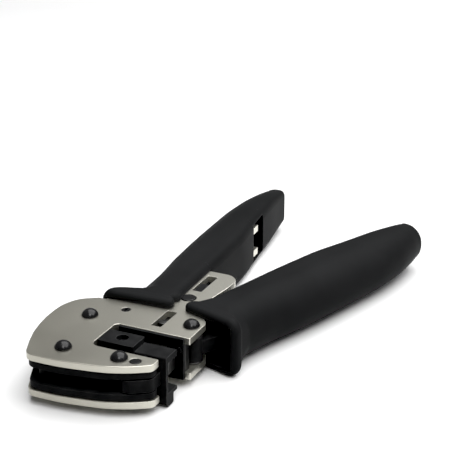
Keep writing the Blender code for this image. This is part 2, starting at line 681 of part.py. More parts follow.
def ram():
    """Slide between the cheeks: a wide head, two arms past the lever's fork, and a top bridge."""
    half = BETWEEN_CHEEKS_HALF
    right, left = 5.4 * MM, -6.6 * MM
    outline = rounded([
        (-THROAT_HALF_WIDTH + 0.4 * MM, THROAT_BACK + 0.1 * MM, 0.4 * MM),
        (THROAT_HALF_WIDTH - 0.4 * MM, THROAT_BACK + 0.1 * MM, 0.4 * MM),
        (THROAT_HALF_WIDTH - 0.4 * MM, RAM_HEAD_TOP, 1.0 * MM),
        (right, RAM_HEAD_TOP, 1.0 * MM),
        (right, RAM_TOP, 1.0 * MM),
        (-14.2 * MM, RAM_TOP, 1.0 * MM),
        (-14.2 * MM, RAM_FINGER, 0.5 * MM),
        (left, RAM_FINGER, 1.0 * MM),
        (left, RAM_HEAD_TOP, 1.0 * MM),
        (-THROAT_HALF_WIDTH + 0.4 * MM, RAM_HEAD_TOP, 1.0 * MM),
    ])
    body = plate("ram", outline, -half, half, grey_steel(), location=(0.0, THROAT_BACK, 0.0))
    place = (0.0, THROAT_BACK, 0.0)
    fork_room = box_mesh((left - 1 * MM, right + 1 * MM), (RAM_HEAD_TOP + 0.2 * MM, 35.4 * MM),
                         (-CORE_HALF - 0.2 * MM, CORE_HALF + 0.2 * MM), place)
    bore = bmesh.new()
    add_turned(bore, [(0.0, -9 * MM), (RAM_PIN_RADIUS + GAP, -9 * MM), (RAM_PIN_RADIUS + GAP, 9 * MM),
                      (0.0, 9 * MM)], frame=Matrix.Translation((*RAM_PIN, 0.0)))
    hole = DIE_SCREW_RADIUS + GAP
    tapped = [(0.0, 15 * MM), (hole, 15 * MM), (hole, 20.5 * MM), (0.0, 20.5 * MM)]
    screw_holes = [finish_mesh(along_y(tapped, x, z), place) for x, z in DIE_SCREWS.values()]
    cut(body, [fork_room, finish_mesh(bore, place), *screw_holes])


def ram_pin():
    top = CHEEK_OUTER - 0.6 * MM
    half_profile = [(RAM_PIN_RADIUS, top - 0.4 * MM), (RAM_PIN_RADIUS - 0.4 * MM, top), (0.0, top)]
    turned("ram_pin", RAM_PIN, mirrored_profile(half_profile), grey_steel())


def along_y(profile, x, z):
    """Placement for a solid of revolution whose axis runs along Y through (x, z)."""
    turn = Matrix.Rotation(-pi / 2, 4, "X")
    bm = bmesh.new()
    add_turned(bm, profile, 16, Matrix.Translation((x, 0.0, z)) @ turn)
    return bm


def die_plate():
    """Thin pressing plate across the ram's face, as tall as the plate stack."""
    top = CHEEK_OUTER - 0.15 * MM
    left, right = -THROAT_HALF_WIDTH + 1.8 * MM, THROAT_HALF_WIDTH - GAP
    outline = rectangle((left, right), (-top, top), 0.5 * MM)
    bm = bmesh.new()
    add_prism(bm, outline, *DIE_PLATE)
    swap = Matrix(((1, 0, 0, 0), (0, 0, 1, 0), (0, 1, 0, 0), (0, 0, 0, 1)))
    bmesh.ops.transform(bm, matrix=swap, verts=bm.verts)
    dies = add_object("die_plate", finish_mesh(bm), black_steel())
    hole = DIE_SCREW_RADIUS + GAP
    bore = [(0.0, 14 * MM), (hole, 14 * MM), (hole, 18 * MM), (0.0, 18 * MM)]
    cut(dies, [finish_mesh(along_y(bore, x, z)) for x, z in DIE_SCREWS.values()])


def die_screws():
    """Screws that hold the pressing plate on the ram, one over the anvil and one over the nest."""
    front = DIE_PLATE[0] - 0.3 * MM
    profile = [(0.0, front), (DIE_SCREW_RADIUS, front), (DIE_SCREW_RADIUS, 20.0 * MM), (0.0, 20.0 * MM)]
    for name, (x, z) in DIE_SCREWS.items():
        add_object(name, finish_mesh(along_y(profile, x, z)), polished_black())


def punches():
    """Contact punch over the plug's blades, with its comb of ribs, and the strain-relief punch."""
    front = PUNCH_TIP
    back = DIE_PLATE[0] - GAP
    pitch = 1.02 * MM
    rib = 0.28 * MM
    body = plate("contact_punch", rectangle((1.6 * MM, 8.2 * MM), (front + 1.2 * MM, back), 0.3 * MM),
                 -4.9 * MM, 4.9 * MM, grey_steel())
    ribs = []
    for number in range(8):
        middle = (number - 3.5) * pitch
        ribs.append(box_mesh((2.0 * MM, 7.8 * MM), (front, front + 2.0 * MM), (middle - rib, middle + rib)))
    join(body, ribs)
    lip = front + 0.4 * MM
    plate("strain_punch", rounded([(9.2 * MM, back, 0.2 * MM), (9.2 * MM, front + 2.4 * MM, 0.4 * MM),
                                   (10.2 * MM, lip, 0.4 * MM), (11.6 * MM, lip, 0.4 * MM),
                                   (11.6 * MM, back, 0.2 * MM)]),
          -4.2 * MM, 4.2 * MM, grey_steel())


# ---------------------------------------------------------------- lever and ratchet

def polar(angle, radius):
    """Point at an angle and radius about the lever's pivot."""
    return (PIVOT[0] + radius * cos(angle), PIVOT[1] + radius * sin(angle))


def lever():
    """Steel core of the moving handle: forked arm to the ram pin, hub, and shank in the moulding."""
    place = (*PIVOT, 0.0)
    shank_in, shank_out = 3.2 * MM, 16.4 * MM
    fork = RAM_PIN_RADIUS + 0.6 * MM
    root_in = handle_point(MOVING_HANDLE, 16 * MM, shank_in)
    root_out = handle_point(MOVING_HANDLE, 18 * MM, shank_out)
    tip_in = handle_point(MOVING_HANDLE, LEVER_END, shank_in + 2.6 * MM)
    tip_out = handle_point(MOVING_HANDLE, LEVER_END, shank_out)
    middle_in = handle_point(MOVING_HANDLE, 70 * MM, shank_in)
    outline = rounded([
        (-3.4 * MM, PIVOT[1] - fork - 1.9 * MM, 1.0 * MM),
        (6.0 * MM, PIVOT[1] - 4.6 * MM, 2.0 * MM),
        (PIVOT[0] + 1.0 * MM, PIVOT[1] - 4.6 * MM, 3.5 * MM),
        (PIVOT[0] + 4.2 * MM, PIVOT[1] + 1.0 * MM, 3.0 * MM),
        (*root_out, 6.0 * MM),
        (*tip_out, 2.0 * MM),
        (*tip_in, 2.0 * MM),
        (*middle_in, 40.0 * MM),
        (*root_in, 3.0 * MM),
        (8.4 * MM, PIVOT[1] + 5.2 * MM, 2.0 * MM),
        (-3.4 * MM, PIVOT[1] + fork + 1.9 * MM, 1.0 * MM),
        (-3.4 * MM, PIVOT[1] + fork, 0.5 * MM),
        (1.0 * MM, PIVOT[1] + fork, 1.2 * MM),
        (2.8 * MM, PIVOT[1], 0.6 * MM),
        (1.0 * MM, PIVOT[1] - fork, 1.2 * MM),
        (-3.4 * MM, PIVOT[1] - fork, 0.5 * MM),
    ])
    body = plate("lever", outline, -CORE_HALF, CORE_HALF, black_steel(), location=place)
    hub = bmesh.new()
    add_turned(hub, [(0.0, -HUB_HALF), (HUB_RADIUS, -HUB_HALF), (HUB_RADIUS, HUB_HALF), (0.0, HUB_HALF)],
               frame=Matrix.Translation((*PIVOT, 0.0)))
    bore = bmesh.new()
    radius = PIVOT_RADIUS + GAP
    add_turned(bore, [(0.0, -9 * MM), (radius, -9 * MM), (radius, 9 * MM), (0.0, 9 * MM)],
               frame=Matrix.Translation((*PIVOT, 0.0)))
    arm = rounded([(*polar(radians(96.0), 34.6 * MM), 1.0 * MM),
                   (*polar(radians(74.0), 30.0 * MM), 1.0 * MM),
                   (*polar(radians(70.0), 44.0 * MM), 1.0 * MM),
                   (*polar(radians(96.0), RACK_OUTER_RADIUS), 1.0 * MM)])
    join(body, [finish_mesh(hub, place), prism_mesh(arm, 0.15 * MM, CORE_HALF, place)])
    rivet_holes = [prism_mesh(circle(centre, RACK_RIVET_RADIUS + GAP, 12), 0.0, 2 * CORE_HALF, place)
                   for centre in rack_rivet_centres()]
    cut(body, [finish_mesh(bore, place), *rivet_holes])


def pivot_washers():
    """Thrust washers between the lever's hub and the cheeks."""
    for name, low, high in (("pivot_washer_top", HUB_HALF + 0.2 * MM, BETWEEN_CHEEKS_HALF),
                            ("pivot_washer_bottom", -BETWEEN_CHEEKS_HALF, -HUB_HALF - 0.2 * MM)):
        washer = plate(name, circle((0.0, 0.0), HUB_RADIUS), low, high, grey_steel(),
                       [circle((0.0, 0.0), PIVOT_RADIUS + GAP)])
        washer.location = (*PIVOT, 0.0)


def ratchet_rack():
    """Toothed arc on the lever's ear; its teeth face the pivot and sweep past the pawl."""
    teeth = []
    for tooth in range(RACK_TEETH):
        angle = RACK_START + tooth * RACK_TOOTH_PITCH
        teeth.append(polar(angle, RACK_TIP_RADIUS + RACK_TOOTH_DEPTH))
        teeth.append(polar(angle + RACK_TOOTH_PITCH * 0.25, RACK_TIP_RADIUS))
        teeth.append(polar(angle + RACK_TOOTH_PITCH * 0.75, RACK_TIP_RADIUS))
    end = RACK_START + RACK_TEETH * RACK_TOOTH_PITCH
    teeth.append(polar(end, RACK_TIP_RADIUS + RACK_TOOTH_DEPTH))
    start = radians(82.5)
    back = [polar(end + (start - end) * step / 8, RACK_OUTER_RADIUS) for step in range(9)]
    root = RACK_TIP_RADIUS + RACK_TOOTH_DEPTH
    inner = [polar(start + (RACK_START - start) * step / 3, root) for step in range(3)]
    outline = teeth + back + inner
    holes = [circle(centre, RACK_RIVET_RADIUS + GAP, 12) for centre in rack_rivet_centres()]
    plate("ratchet_rack", outline, -CORE_HALF, -0.1 * MM, grey_steel(), holes, (*PIVOT, 0.0))


def rack_rivet_centres():
    return [polar(radians(angle), 36.7 * MM) for angle in (86.0, 92.5)]


def rack_rivets():
    end = CORE_HALF - 0.05 * MM
    profile = [(0.0, -end), (RACK_RIVET_RADIUS, -end), (RACK_RIVET_RADIUS, end), (0.0, end)]
    for number, centre in enumerate(rack_rivet_centres(), start=1):
        turned(f"rack_rivet_{number}", centre, profile, grey_steel(), 12)


def pawl_point(along, across=0.0):
    """Point measured from the pawl's pivot: along its finger, and across it to the right."""
    outward = Vector(PAWL_PIVOT) - Vector(PIVOT)
    direction = outward.normalized()
    return (PAWL_PIVOT[0] + direction.x * along + direction.y * across,
            PAWL_PIVOT[1] + direction.y * along - direction.x * across)


def pawl():
    """Finger that drops into the rack's teeth and turns over at each end of the stroke."""
    hub = 3.5 * MM
    corners = [(PAWL_LENGTH, -0.5 * MM, 0.2 * MM), (PAWL_LENGTH, 0.5 * MM, 0.2 * MM),
               (2.4 * MM, hub, 1.5 * MM), (-2.4 * MM, hub, 1.5 * MM),
               (-PAWL_TAIL, 0.9 * MM, 0.5 * MM), (-PAWL_TAIL, -0.9 * MM, 0.5 * MM),
               (-2.4 * MM, -hub, 1.5 * MM), (2.4 * MM, -hub, 1.5 * MM)]
    outline = rounded([(*pawl_point(along, across), radius) for along, across, radius in corners])
    plate("pawl", outline, -CORE_HALF, CORE_HALF, grey_steel(), [circle(PAWL_PIVOT, PAWL_PIN_RADIUS + GAP)],
          (*PAWL_PIVOT, 0.0))


def pawl_spring():
    """Small tension spring from the pawl's tail to its post: it swings the pawl back upright."""
    post = pawl_point(-PAWL_SPRING_POST)
    end = INNER_OUTER - 0.1 * MM
    radius = PAWL_POST_RADIUS
    profile = [(0.0, -end), (radius, -end), (radius, end), (0.0, end)]
    turned("pawl_spring_post", post, profile, grey_steel(), 12)
    length = PAWL_SPRING_POST - PAWL_POST_RADIUS - PAWL_TAIL - 2 * GAP
    wire = 0.2 * MM
    points = coil_points(0.8 * MM, wire, length - wire, 4)
    spring = swept_wire("pawl_spring", points, wire, spring_steel(), (*pawl_point(-PAWL_TAIL - GAP), 0.0))
    direction = Vector(pawl_point(-1.0)) - Vector(pawl_point(0.0))
    spring.rotation_euler = (0.0, 0.0, atan2(direction.y, direction.x) - pi / 2)


def return_spring():
    """Compression spring on the spacer's shelf, drawn at the length it has with the ram home."""
    low, high = RETURN_SPRING
    points = coil_points(RETURN_SPRING_RADIUS, SPRING_WIRE, high - low - SPRING_WIRE, 5)
    swept_wire("return_spring", points, SPRING_WIRE, spring_steel(), (RETURN_SPRING_X, low, 0.0))


def release_slide():
    """U-shaped slide in the plates' rear slots: pushed back, it frees the pawl from the rack."""
    half_width = SLOT_WIDTH / 2 - GAP
    low = RELEASE_SLOT[0] + GAP
    step, end = low + 8.4 * MM, low + 11.6 * MM
    block, leg, inside = CHEEK_OUTER - 0.5 * MM, INNER_OUTER - 0.3 * MM, INNER_INNER + 0.1 * MM
    upper = [(step, inside), (low, inside), (low, block), (step, block), (step, leg), (end, leg)]
    lower = [(y, -z) for y, z in reversed(upper)]
    bm = bmesh.new()
    add_prism(bm, upper + lower, -half_width, half_width)
    cyclic = Matrix(((0, 0, 1, 0), (1, 0, 0, 0), (0, 1, 0, 0), (0, 0, 0, 1)))
    bmesh.ops.transform(bm, matrix=cyclic, verts=bm.verts)
    add_object("release_slide", finish_mesh(bm), black_steel())


# ---------------------------------------------------------------- handles

def handle_section(inner, outer, half, reach):
    """Cross-section (outward, z) of a handle: flat inner face, softly rounded outer side."""
    steps = 6
    corner = min(HANDLE_INNER_SHARE * reach, 0.4 * half, 0.3 * (outer - inner))
    wide = min(reach, 0.75 * (outer - inner))
    tall = min(reach, half - 0.4 * MM)
    points = []
    for sign in (1, -1):
        for step in range(steps + 1):
            turn = pi / 2 * (1 - step / steps) if sign > 0 else -pi / 2 * step / steps
            points.append((outer - wide + wide * cos(turn), sign * (half - tall) + tall * sin(turn)))
    for sign in (-1, 1):
        for step in range(4):
            turn = -pi / 2 * (1 + step / 3) if sign < 0 else pi - pi / 2 * step / 3
            points.append((inner + corner + corner * cos(turn), sign * (half - corner) + corner * sin(turn)))
    return points


def handle_prism(handle, corners, z_half, place):
    """Cutter with the given (along, outward) corners, as tall as twice z_half."""
    outline = [handle_point(handle, along, outward) for along, outward in corners]
    return prism_mesh(outline, -z_half, z_half, place)


def handle_box(handle, along, outward, z_half, place):
    (s0, s1), (u0, u1) = along, outward
    return handle_prism(handle, [(s0, u0), (s0, u1), (s1, u1), (s1, u0)], z_half, place)


def handle_stations(handle):
    """(along, inner, outer, half, reach) in metres, from the guard's front to the grip's end."""
    inner, outer = handle["guard"]
    stations = [(along * MM, inner + inset * MM, outer - inset * MM, half * MM, reach * MM)
                for along, inset, half, reach in GUARD_STATIONS]
    for along, inner, outer, half, reach in GRIP_STATIONS:
        stretched = GRIP_START + (along - GRIP_START) * handle["stretch"] if along > GRIP_START else along
        stations.append((stretched * MM, inner * MM, outer * MM, half * MM, reach * MM))
    return stations


def handle_moulding(name, handle, place):
    """Solid outer form of one handle, lofted through the stations."""
    bm = bmesh.new()
    rings = []
    for along, inner, outer, half, reach in handle_stations(handle):
        ring = []
        for outward, z in handle_section(inner, outer, half, reach):
            x, y = handle_point(handle, along, outward)
            ring.append(bm.verts.new((x, y, z)))
        rings.append(ring)
    for lower, upper in zip(rings, rings[1:]):
        for i in range(len(lower)):
            bm.faces.new((lower[i - 1], lower[i], upper[i], upper[i - 1]))
    bm.faces.new(rings[0])
    bm.faces.new(rings[-1])
    return add_object(name, finish_mesh(bm, place), handle_plastic(), place)


def guard_recess(handle, place):
    """Room behind the guard's front: wide across the guard, narrow where the grip begins."""
    room = handle["guard"][1] - GUARD_WALL + GAP
    return handle_prism(handle, [(-2 * MM, -1 * MM), (-2 * MM, room), (3.2 * MM, room), (9.6 * MM, 14.1 * MM),
                                 (13 * MM, 14.1 * MM), (13 * MM, -1 * MM)], CHEEK_OUTER + 0.4 * MM, place)


def window(handle, depth, place):
    return handle_box(handle, WINDOW, (-8 * MM, depth), CHEEK_OUTER + 0.3 * MM, place)


def fixed_handle():
    """Moulding pushed over the two tangs; it straddles the neck; two prongs show in its window."""
    place = (*FIXED_HANDLE["origin"], 0.0)
    moulding = handle_moulding("fixed_handle", FIXED_HANDLE, place)
    straddle = handle_box(FIXED_HANDLE, (-2 * MM, FIXED_STRADDLE), (-12 * MM, 13.9 * MM),
                          CHEEK_OUTER + 0.4 * MM, place)
    pocket = handle_box(FIXED_HANDLE, (FIXED_STRADDLE - 3 * MM, PRONG_END + 2 * MM),
                        (TANG_INNER - 0.4 * MM, TANG_OUTER + 0.4 * MM), CHEEK_OUTER + 0.25 * MM, place)
    cut(moulding, [straddle, guard_recess(FIXED_HANDLE, place), pocket,
                   window(FIXED_HANDLE, TANG_INNER + 1 * MM, place)])


def moving_handle():
    """Moulding on the lever's shank; its hollow front clears the neck as the tool closes."""
    place = (*PIVOT, 0.0)
    moulding = handle_moulding("moving_handle", MOVING_HANDLE, place)
    straddle = handle_box(MOVING_HANDLE, (-2 * MM, MOVING_STRADDLE), (-12 * MM, 7.8 * MM),
                          CHEEK_OUTER + 0.4 * MM, place)
    pocket = handle_prism(MOVING_HANDLE, [(5 * MM, 2.8 * MM), (5 * MM, 16.8 * MM),
                                          (LEVER_END + 2 * MM, 16.8 * MM), (LEVER_END + 2 * MM, 5.4 * MM),
                                          (72 * MM, 2.8 * MM)], CORE_HALF + 0.3 * MM, place)
    recess = guard_recess(MOVING_HANDLE, place)
    cut(moulding, [straddle, recess, pocket, window(MOVING_HANDLE, 6.5 * MM, place)])


# ---------------------------------------------------------------- assembly

def seat_datum():
    """Put the part's origin on the plug seat by parenting every piece to an empty."""
    datum = bpy.data.objects.new("plug_seat_datum", None)
    bpy.context.collection.objects.link(datum)
    datum.location = (-SEAT_DATUM_X, 0.0, 0.0)
    for item in bpy.data.objects:
        if item is not datum:
            item.parent = datum


def build():
    clear_scene()
    cheeks()
    inner_plates()
    head_spacer()
    tang_spacer()
    dome_rivets()
    flush_pins()
    adjuster()
    anvil_block()
    anvil_screw()
    plug_nest()
    nest_dowel()
    ram()
    ram_pin()
    die_plate()
    die_screws()
    punches()
    lever()
    pivot_washers()
    ratchet_rack()
    rack_rivets()
    pawl()
    pawl_spring()
    return_spring()
    release_slide()
    fixed_handle()
    moving_handle()
    seat_datum()


build()
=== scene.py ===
"""Looks of a modular plug crimping tool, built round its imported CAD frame.

Everything is in metres in the frame's axes: +Y runs along the ram from the nose to the handles, +X
towards the open side of the throat, +Z through the plates. Outlines of the plates are read from the
frame's own solids and redrawn finer; round pieces and handles are modelled afresh on the frame's axes.
"""
import json
from math import asin, ceil, cos, pi, radians, sin, sqrt

import bmesh
import bpy
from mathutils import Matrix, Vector


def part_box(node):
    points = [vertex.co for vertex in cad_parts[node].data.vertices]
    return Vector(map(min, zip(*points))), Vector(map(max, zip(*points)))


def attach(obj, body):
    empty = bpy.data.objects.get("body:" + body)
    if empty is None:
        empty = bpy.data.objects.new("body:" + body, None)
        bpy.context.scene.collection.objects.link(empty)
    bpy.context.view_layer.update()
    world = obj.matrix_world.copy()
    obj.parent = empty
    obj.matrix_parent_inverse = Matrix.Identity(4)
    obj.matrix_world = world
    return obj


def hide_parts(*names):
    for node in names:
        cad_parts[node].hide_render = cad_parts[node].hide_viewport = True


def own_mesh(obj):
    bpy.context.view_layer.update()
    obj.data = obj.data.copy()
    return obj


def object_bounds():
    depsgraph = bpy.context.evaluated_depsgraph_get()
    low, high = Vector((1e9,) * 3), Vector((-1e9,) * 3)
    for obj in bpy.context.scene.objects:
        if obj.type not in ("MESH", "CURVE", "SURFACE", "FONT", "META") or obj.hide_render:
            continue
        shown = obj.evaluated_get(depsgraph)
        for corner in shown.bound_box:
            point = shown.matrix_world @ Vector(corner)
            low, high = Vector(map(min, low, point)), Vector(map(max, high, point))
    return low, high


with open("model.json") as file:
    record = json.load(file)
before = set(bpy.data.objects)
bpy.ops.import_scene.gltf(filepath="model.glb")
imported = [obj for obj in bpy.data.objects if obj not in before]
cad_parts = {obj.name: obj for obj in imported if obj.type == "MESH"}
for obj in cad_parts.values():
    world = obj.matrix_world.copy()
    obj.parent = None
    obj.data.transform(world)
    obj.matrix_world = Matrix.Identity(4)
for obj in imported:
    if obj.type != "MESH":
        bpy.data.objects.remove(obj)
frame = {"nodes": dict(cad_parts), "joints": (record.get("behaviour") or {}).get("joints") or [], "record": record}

MM = 0.001
CAD_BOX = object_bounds()
BODY_OF = {node: body for body, nodes in frame["record"]["behaviour"]["bodies"].items() for node in nodes}
SLOT_OF = {row["node"]: row["material_slot"] for row in frame["record"]["subparts"]}
JOINTS = {joint["name"]: joint for joint in frame["joints"]}
PIVOT = Vector(JOINTS["handle_close"]["pos_m"])

CHEEK_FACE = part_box("cheek_top")[1].z
WELD = 0.001 * MM
FLAT_TURN = radians(1)


# ---------------------------------------------------------------- materials

class Shader:
    """A material under construction: a Principled shader and short ways to add texture nodes."""

    def __init__(self, name):
        self.material = bpy.data.materials.new(name)
        self.material.use_nodes = True
        self.tree = self.material.node_tree
        self.surface = self.tree.nodes["Principled BSDF"]
        self.place = self.add("ShaderNodeTexCoord").outputs["Object"]

    def add(self, kind, **values):
        node = self.tree.nodes.new(kind)
        for key, value in values.items():
            setattr(node, key, value)
        return node

    def link(self, source, target):
        self.tree.links.new(source, target)

    def stretched(self, x, y, z):
        """Texture coordinates scaled differently along each axis, for brushed or drawn metal."""
        mapping = self.add("ShaderNodeMapping")
        mapping.inputs["Scale"].default_value = (x, y, z)
        self.link(self.place, mapping.inputs["Vector"])
        return mapping.outputs["Vector"]

    def noise(self, size, detail=3.0, place=None):
        """Noise whose features are about size metres across."""
        node = self.add("ShaderNodeTexNoise")
        node.inputs["Scale"].default_value = 1.0 / size
        node.inputs["Detail"].default_value = detail
        self.link(place or self.place, node.inputs["Vector"])
        return node.outputs["Fac"]

    def along_tool(self):
        """Half of x plus half of y in the frame's axes: from the nose's left corner to the neck."""
        node = self.add("ShaderNodeVectorMath", operation="DOT_PRODUCT")
        node.inputs[1].default_value = (0.5, 0.5, 0.0)
        self.link(self.place, node.inputs[0])
        return node.outputs["Value"]

    def spread(self, fac, low, high, start=0.35, end=0.65):
        """Map a texture to values between low and high."""
        node = self.add("ShaderNodeMapRange")
        node.inputs["From Min"].default_value = start
        node.inputs["From Max"].default_value = end
        node.inputs["To Min"].default_value = low
        node.inputs["To Max"].default_value = high
        self.link(fac, node.inputs["Value"])
        return node.outputs["Result"]

    def mix(self, fac, first, second):
        """Blend two colours, each a tuple or a socket."""
        node = self.add("ShaderNodeMix", data_type="RGBA")
        colours = [socket for socket in node.inputs if socket.type == "RGBA"]
        self.link(fac, node.inputs["Factor"])
        for socket, colour in zip(colours, (first, second)):
            if isinstance(colour, tuple):
                socket.default_value = (*colour, 1.0)
            else:
                self.link(colour, socket)
        return next(socket for socket in node.outputs if socket.type == "RGBA")

    def edge_wear_and_sheen(self, radius, start=0.02, end=0.16):
        """1 on convex and concave edges, 0 on flats: how far a rounded normal leaves the true one. It marks worn
        edges on the metals and a painted sheen on the moulding.
        """
        rounded = self.add("ShaderNodeBevel", samples=4)
        rounded.inputs["Radius"].default_value = radius
        true = self.add("ShaderNodeNewGeometry")
        dot = self.add("ShaderNodeVectorMath", operation="DOT_PRODUCT")
        self.link(rounded.outputs["Normal"], dot.inputs[0])
        self.link(true.outputs["Normal"], dot.inputs[1])
        return self.spread(dot.outputs["Value"], 1.0, 0.0, 1.0 - end, 1.0 - start)

    def times(self, first, second):
        node = self.add("ShaderNodeMath", operation="MULTIPLY")
        self.link(first, node.inputs[0])
        self.link(second, node.inputs[1])
        return node.outputs["Value"]

    def bump(self, height, strength, depth):
        node = self.add("ShaderNodeBump")
        node.inputs["Strength"].default_value = strength
        node.inputs["Distance"].default_value = depth
        self.link(height, node.inputs["Height"])
        self.link(node.outputs["Normal"], self.surface.inputs["Normal"])

    def set(self, **values):
        for name, value in values.items():
            socket = self.surface.inputs[name.replace("_", " ")]
            if isinstance(value, tuple):
                socket.default_value = (*value, 1.0)
            elif isinstance(value, (int, float)):
                socket.default_value = value
            else:
                self.link(value, socket)


def nickel_plate():
    """Satin nickel over blasted steel: warm grey, finely grained, with painted light brightening it towards the
    neck, and brighter along worn edges.
    """
    shader = Shader("satin_nickel_plate")
    cloud = shader.noise(22 * MM, 4)
    # painted light: the plate's colour brightens towards the neck in place of the reflection that brightens there
    painted_light_towards_neck = shader.spread(shader.along_tool(), 0, 1, -25 * MM, 28 * MM)
    body = shader.mix(painted_light_towards_neck, (0.42, 0.407, 0.352), (0.80, 0.785, 0.70))
    body = shader.mix(shader.spread(cloud, 0.0, 0.25), body, (0.44, 0.427, 0.372))
    speckle = shader.noise(0.5 * MM, 2)
    body = shader.mix(shader.spread(speckle, 0.0, 0.25, 0.5, 0.8), body, (0.36, 0.35, 0.305))
    body = shader.mix(shader.edge_wear_and_sheen(0.3 * MM), body, (0.82, 0.81, 0.74))
    shader.set(Base_Color=body, Metallic=0.9, Roughness=shader.spread(cloud, 0.29, 0.34))
    shader.bump(shader.noise(0.22 * MM, 2), 0.2, 0.02 * MM)
    return shader.material


def black_oxide():
    """Blackened steel: blue-black, slightly blotchy, rubbed grey along its edges."""
    shader = Shader("black_oxide_steel")
    cloud = shader.noise(6 * MM, 5)
    body = shader.mix(shader.spread(cloud, 0, 1), (0.015, 0.0152, 0.0157), (0.024, 0.0242, 0.0247))
    rub = shader.times(shader.edge_wear_and_sheen(0.3 * MM), shader.spread(shader.noise(2.5 * MM, 3), 0.2, 1.0))
    body = shader.mix(rub, body, (0.13, 0.13, 0.13))
    shader.set(Base_Color=body, Metallic=0.0, Roughness=shader.spread(cloud, 0.36, 0.50),
               Specular_IOR_Level=0.03)
    shader.bump(shader.noise(0.3 * MM, 2), 0.2, 0.02 * MM)
    return shader.material


def polished_black():
    """Glossy black domes and pins with faint handling marks."""
    shader = Shader("polished_black_steel")
    cloud = shader.noise(3 * MM, 4)
    body = shader.mix(shader.spread(cloud, 0, 1), (0.006, 0.006, 0.0065), (0.013, 0.013, 0.0135))
    shader.set(Base_Color=body, Metallic=0.0, Roughness=shader.spread(cloud, 0.18, 0.26),
               Specular_IOR_Level=0.34)
    shader.bump(shader.noise(0.8 * MM, 2), 0.08, 0.02 * MM)
    return shader.material


def grey_steel():
    """Ground and hardened steel with fine grinding lines across the ram's travel."""
    shader = Shader("hardened_grey_steel")
    lines = shader.noise(1.0, 3, shader.stretched(150, 6000, 6000))
    body = shader.mix(shader.spread(lines, 0, 1), (0.045, 0.045, 0.045), (0.085, 0.085, 0.083))
    body = shader.mix(shader.edge_wear_and_sheen(0.2 * MM), body, (0.20, 0.20, 0.195))
    shader.set(Base_Color=body, Metallic=0.9, Roughness=shader.spread(lines, 0.28, 0.44))
    shader.bump(lines, 0.15, 0.01 * MM)
    return shader.material


def spring_wire():
    shader = Shader("spring_steel_wire")
    drawn = shader.noise(0.6 * MM, 3)
    body = shader.mix(shader.spread(drawn, 0, 1), (0.38, 0.38, 0.37), (0.52, 0.52, 0.50))
    shader.set(Base_Color=body, Metallic=1.0, Roughness=shader.spread(drawn, 0.22, 0.36))
    return shader.material


def handle_plastic():
    """Satin black moulding with a fine spark-eroded grain and a faint painted sheen, lighter along its rounded
    edges.
    """
    shader = Shader("satin_black_moulding")
    cloud = shader.noise(30 * MM, 3)
    body = shader.mix(shader.spread(cloud, 0, 1), (0.0135, 0.0138, 0.0143), (0.018, 0.0184, 0.019))
    # painted sheen: the moulding's edges are coloured lighter, standing in for light catching them
    body = shader.mix(shader.edge_wear_and_sheen(0.8 * MM, 0.04, 0.3), body, (0.045, 0.045, 0.046))
    shader.set(Base_Color=body, Roughness=shader.spread(cloud, 0.50, 0.60), Specular_IOR_Level=0.04)
    shader.bump(shader.noise(0.45 * MM, 2), 0.22, 0.03 * MM)
    return shader.material


MATERIALS = {
    "nickel_plated_steel": nickel_plate(),
    "black_oxide_steel": black_oxide(),
    "polished_black_steel": polished_black(),
    "hardened_grey_steel": grey_steel(),
    "spring_steel": spring_wire(),
    "black_handle_plastic": handle_plastic(),
}


# ---------------------------------------------------------------- pieces and meshes

def add_piece(name, bm, slot, body, replaced=()):
    """Make a finished piece from a bmesh in frame coordinates, riding on a body."""
    bmesh.ops.recalc_face_normals(bm, faces=bm.faces)
    mesh = bpy.data.meshes.new(name)
    bm.to_mesh(mesh)
    bm.free()
    mesh.shade_smooth()
    mesh.materials.append(MATERIALS[slot])
    piece = bpy.data.objects.new(name, mesh)
    bpy.context.collection.objects.link(piece)
    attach(piece, body)
    if replaced:
        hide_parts(*replaced)
    return piece


def weighted(piece):
    """Shade by face area, so that flats stay flat beside narrow rounded edges."""
    modifier = piece.modifiers.new("weighted_normals", "WEIGHTED_NORMAL")
    modifier.keep_sharp = True


def round_edges(piece, width, segments=3, angle=35):
    bevel = piece.modifiers.new("rounded_edges", "BEVEL")
    bevel.limit_method = "ANGLE"
    bevel.angle_limit = radians(angle)
    bevel.width = width
    bevel.segments = segments
    bevel.use_clamp_overlap = True
    weighted(piece)


def carry_over(node, width):
    """Keep a CAD node: join its flat facets, round its edges and give it its material."""
    piece = frame["nodes"][node]
    piece.data.materials.clear()
    piece.data.materials.append(MATERIALS[SLOT_OF[node]])
    weld = piece.modifiers.new("weld", "WELD")
    weld.merge_threshold = WELD
    flats = piece.modifiers.new("join_flats", "DECIMATE")
    flats.decimate_type = "DISSOLVE"
    flats.angle_limit = FLAT_TURN
    piece.data.shade_smooth()
    round_edges(piece, width)


# ---------------------------------------------------------------- outlines read from the frame

HOLE_EDGE = 0.12 * MM
LEVEL_SLACK = 0.005 * MM
STRAIGHT_TURN = radians(0.4)
SMOOTH_TURN = radians(30)
STRAIGHT_RATIO = 2.5
CURVE_STEP = radians(5)
FOLDED_BACK = 0.2


def flat_loops(node, level):
    """Closed loops of (x, y) points round a node's flat face at a level in z."""
    bm = bmesh.new()
    bm.from_mesh(frame["nodes"][node].data)
    bmesh.ops.remove_doubles(bm, verts=bm.verts, dist=WELD)
    on_level = [face for face in bm.faces if all(abs(v.co.z - level) < LEVEL_SLACK for v in face.verts)]
    follow = {}
    for face in on_level:
        for loop in face.loops:
            others = [other for other in loop.edge.link_faces if other is not face]
            if not any(other in on_level for other in others):
                follow[loop.vert.index] = loop.link_loop_next.vert.index
    places = {v.index: v.co.xy for v in bm.verts}
    bm.free()
    loops = []
    while follow:
        start, current = follow.popitem()
        ring = [places[start]]
        while current != start:
            ring.append(places[current])
            current = follow.pop(current)
        loops.append(ring)
    return loops


def area(ring):
    return sum(p.x * q.y - q.x * p.y for p, q in zip(ring, ring[1:] + ring[:1])) / 2


